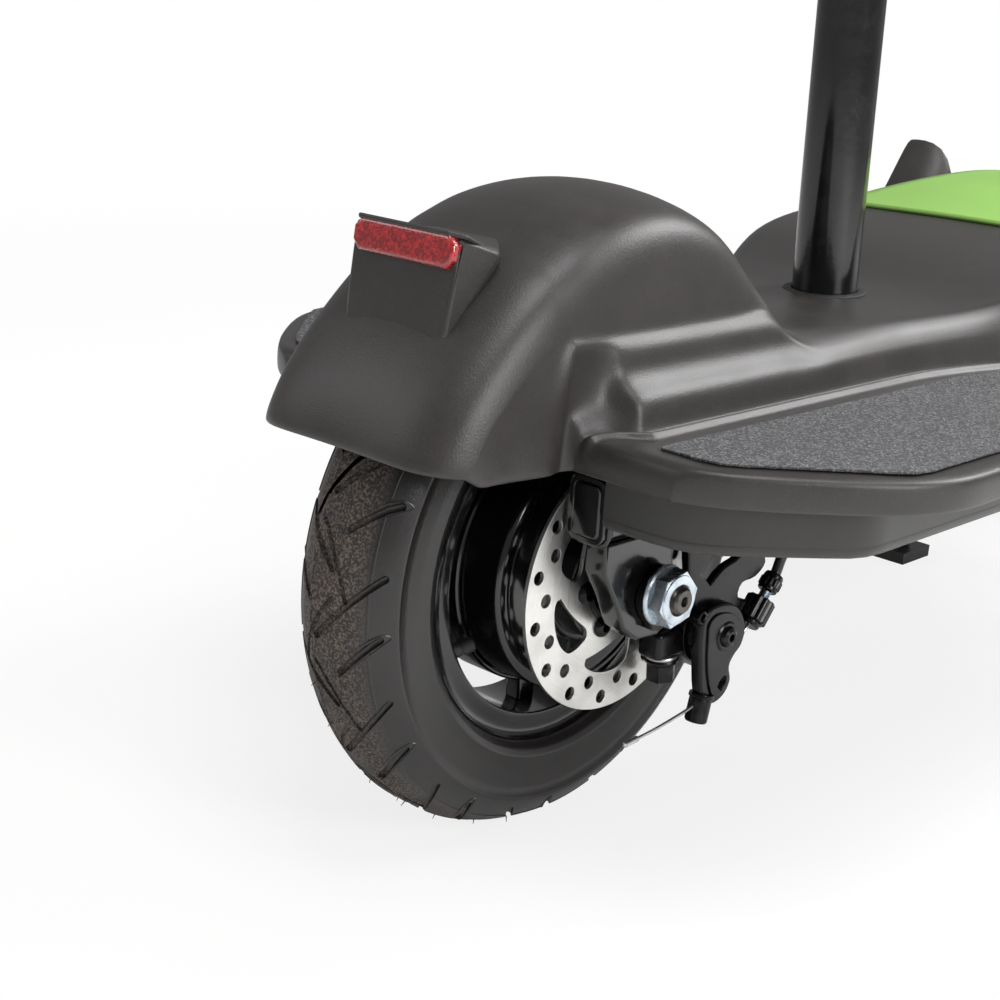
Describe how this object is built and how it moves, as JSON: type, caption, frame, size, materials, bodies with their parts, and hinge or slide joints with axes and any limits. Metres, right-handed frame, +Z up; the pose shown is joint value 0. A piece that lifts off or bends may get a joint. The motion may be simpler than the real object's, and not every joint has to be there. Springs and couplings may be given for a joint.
{
  "type": "electric scooter",
  "caption": "Seated electric scooter with faired deck, side foot wings, hub motor and disc brake behind, raked telescoping column, saddle post and centre stand.",
  "frame": {"origin": "on the ground at mid-wheelbase, on the centre plane: the middle of the underside of the bounding box", "axes": "+Y forward along the scooter, +Z up, +X to the rider's right"},
  "size_m": [0.58, 1.115, 1.0309],
  "materials": {
    "frame_black": "satin black paint",
    "tube_gloss": "gloss black",
    "shell": "matt charcoal, fine grain",
    "tray": "satin black",
    "grip_tape": "gritty grey",
    "cover_green": "satin light green",
    "soft_black": "matt black",
    "red_lens": "clear red, prismatic inside",
    "pack": "shrink-wrap",
    "alloy_black": "black anodised",
    "zinc": "zinc plated",
    "cable": "black housing",
    "tyre": "rubber, dusty tread",
    "rim": "gloss black",
    "rotor": "stamped stainless",
    "post_steel": "bright steel",
    "cushion": "black vinyl",
    "lamp": "clear lens"
  },
  "bodies": {
    "frame": {"rail_left": "frame_black", "rail_right": "frame_black", "cross_tube_rear": "frame_black", "cross_tube_front": "frame_black", "neck_tube": "frame_black", "head_tube": "frame_black", "seat_tube": "tube_gloss", "dropout_left": "frame_black", "dropout_right": "frame_black", "body_shell": "shell", "side_tray_left": "tray", "side_tray_right": "tray", "belly_pan": "tray", "grip_tape_left": "grip_tape", "grip_tape_right": "grip_tape", "battery_cover": "cover_green", "seat_tube_ring": "soft_black", "rear_reflector": "red_lens", "battery_pack": "pack", "motor_controller": "alloy_black", "rear_axle": "zinc", "axle_nut_left": "zinc", "axle_nut_right": "zinc", "torque_washer_left": "zinc", "torque_washer_right": "zinc", "caliper_bracket": "alloy_black", "caliper_body": "alloy_black", "brake_pad_fixed": "soft_black", "rear_brake_cable": "cable", "seat_clamp": "alloy_black", "kickstand_bracket": "frame_black"},
    "rear_wheel": {"rear_tyre": "tyre", "rear_rim": "rim", "motor_drum": "rim", "brake_rotor": "rotor"},
    "brake_arm": {"brake_arm": "alloy_black"},
    "brake_pad": {"brake_pad_moving": "soft_black"},
    "seat": {"seat_post": "post_steel", "saddle_pan": "soft_black", "saddle_cushion": "cushion"},
    "seat_clamp_lever": {"seat_clamp_lever": "alloy_black"},
    "stand": {"kickstand_legs": "frame_black"},
    "fork": {"fork": "frame_black", "column_tube": "tube_gloss", "front_axle": "zinc", "front_fender": "shell", "bar_clamp": "alloy_black", "headlight": "lamp"},
    "front_wheel": {"front_tyre": "tyre", "front_rim": "rim"},
    "bar_clamp_lever": {"bar_clamp_lever": "alloy_black"},
    "bar": {"bar_stem": "post_steel", "handlebar": "tube_gloss", "grip_left": "soft_black", "lever_bracket_left": "alloy_black", "lever_bracket_right": "alloy_black"},
    "throttle": {"throttle_grip": "soft_black"},
    "lever_left": {"brake_lever_left": "alloy_black"},
    "lever_right": {"brake_lever_right": "alloy_black"}
  },
  "joints": [
    {"name": "rear_wheel_spin", "type": "hinge", "parent": "frame", "child": "rear_wheel", "pos_m": [0, -0.43, 0.1275], "axis": [1, 0, 0], "continuous": true},
    {"name": "steering", "type": "hinge", "parent": "frame", "child": "fork", "pos_m": [0, 0.35487, 0.31975], "axis": [0, -0.2756, 0.9613], "range_deg": [-40, 40]},
    {"name": "front_wheel_spin", "type": "hinge", "parent": "fork", "child": "front_wheel", "pos_m": [0, 0.43, 0.1275], "axis": [1, 0, 0], "continuous": true},
    {"name": "bar_height", "type": "slide", "parent": "fork", "child": "bar", "axis": [0, -0.2756, 0.9613], "range_m": [-0.1, 0.05]},
    {"name": "bar_clamp_lever_turn", "type": "hinge", "parent": "fork", "child": "bar_clamp_lever", "pos_m": [0.0115, 0.29438, 0.66131], "axis": [1, 0, 0], "range_deg": [0, 120]},
    {"name": "seat_height", "type": "slide", "parent": "frame", "child": "seat", "axis": [0, -0.0384, 0.9993], "range_m": [-0.09, 0.06]},
    {"name": "seat_clamp_lever_turn", "type": "hinge", "parent": "frame", "child": "seat_clamp_lever", "pos_m": [0.025, -0.25217, 0.486], "axis": [1, 0, 0], "range_deg": [0, 165]},
    {"name": "stand_fold", "type": "hinge", "parent": "frame", "child": "stand", "pos_m": [0, 0.05, 0.1235], "axis": [-1, 0, 0], "range_deg": [0, 90]},
    {"name": "brake_lever_left_pull", "type": "hinge", "parent": "bar", "child": "lever_left", "pos_m": [-0.153, 0.18741, 1.00236], "axis": [0, 0, 1], "range_deg": [0, 11], "stiffness_Nm_per_rad": 1},
    {"name": "brake_lever_right_pull", "type": "hinge", "parent": "bar", "child": "lever_right", "pos_m": [0.153, 0.18741, 1.00236], "axis": [0, 0, -1], "range_deg": [0, 11], "stiffness_Nm_per_rad": 1},
    {"name": "throttle_twist", "type": "hinge", "parent": "bar", "child": "throttle", "pos_m": [0.232, 0.15641, 1.01186], "axis": [1, 0, 0], "range_deg": [0, 45], "stiffness_Nm_per_rad": 0.2},
    {"name": "brake_arm_pull", "type": "hinge", "parent": "frame", "child": "brake_arm", "pos_m": [0.077, -0.3875, 0.1], "axis": [1, 0, 0], "range_deg": [0, 15]},
    {"name": "brake_pad_press", "type": "slide", "parent": "frame", "child": "brake_pad", "axis": [-1, 0, 0], "range_m": [0, 0.0007]}
  ],
  "couplings": [
    {"joint": "brake_arm_pull", "follows": "brake_lever_left_pull", "ratio": 1},
    {"joint": "brake_pad_press", "follows": "brake_lever_left_pull", "m_per_rad": 0.003}
  ]
}
